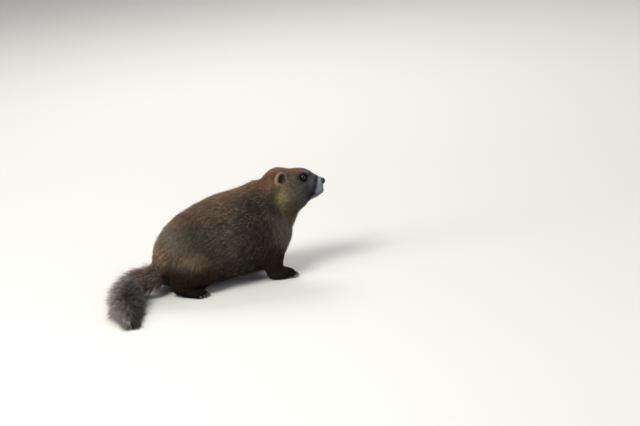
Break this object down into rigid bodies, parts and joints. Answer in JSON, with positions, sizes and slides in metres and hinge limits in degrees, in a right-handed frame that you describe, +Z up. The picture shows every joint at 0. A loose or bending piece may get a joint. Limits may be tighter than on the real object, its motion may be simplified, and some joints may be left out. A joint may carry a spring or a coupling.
{
  "type": "yellow-bellied marmot",
  "caption": "Life-size still model of a yellow-bellied marmot standing low on all fours, head up, bushy tail laid on the ground.",
  "frame": {"origin": "on the ground, at the middle of the animal's box seen from above", "axes": "+X towards the head, +Y to the animal's left, +Z up"},
  "size_m": [0.4554, 0.268, 0.1943],
  "materials": {
    "body_fur": "short brown fur with pale hair tips",
    "thigh_fur": "short fur, warmer brown",
    "leg_fur": "short dark rusty fur",
    "paw_fur": "very short blackish fur over bare pads",
    "face_fur": "short fur, dark face with a white band round the muzzle",
    "ear_fur": "thin buff fur",
    "tail_fur": "long loose dark brown hair",
    "nose_skin": "bare black skin, damp",
    "claw": "dark horn",
    "eye": "wet, near black"
  },
  "bodies": {
    "root": {"torso": "body_fur", "neck": "body_fur", "head": "face_fur", "nose": "nose_skin", "tail": "tail_fur", "eye_right": "eye", "ear_right": "ear_fur", "upper_arm_right": "body_fur", "forearm_right": "leg_fur", "thigh_right": "thigh_fur", "shank_right": "thigh_fur", "forepaw_right": "paw_fur", "hind_foot_right": "paw_fur", "claw_fore_right_1": "claw", "claw_fore_right_2": "claw", "claw_fore_right_3": "claw", "claw_fore_right_4": "claw", "claw_hind_right_1": "claw", "claw_hind_right_2": "claw", "claw_hind_right_3": "claw", "claw_hind_right_4": "claw", "claw_hind_right_5": "claw", "eye_left": "eye", "ear_left": "ear_fur", "upper_arm_left": "body_fur", "forearm_left": "leg_fur", "thigh_left": "thigh_fur", "shank_left": "thigh_fur", "forepaw_left": "paw_fur", "hind_foot_left": "paw_fur", "claw_fore_left_1": "claw", "claw_fore_left_2": "claw", "claw_fore_left_3": "claw", "claw_fore_left_4": "claw", "claw_hind_left_1": "claw", "claw_hind_left_2": "claw", "claw_hind_left_3": "claw", "claw_hind_left_4": "claw", "claw_hind_left_5": "claw"}
  },
  "joints": []
}
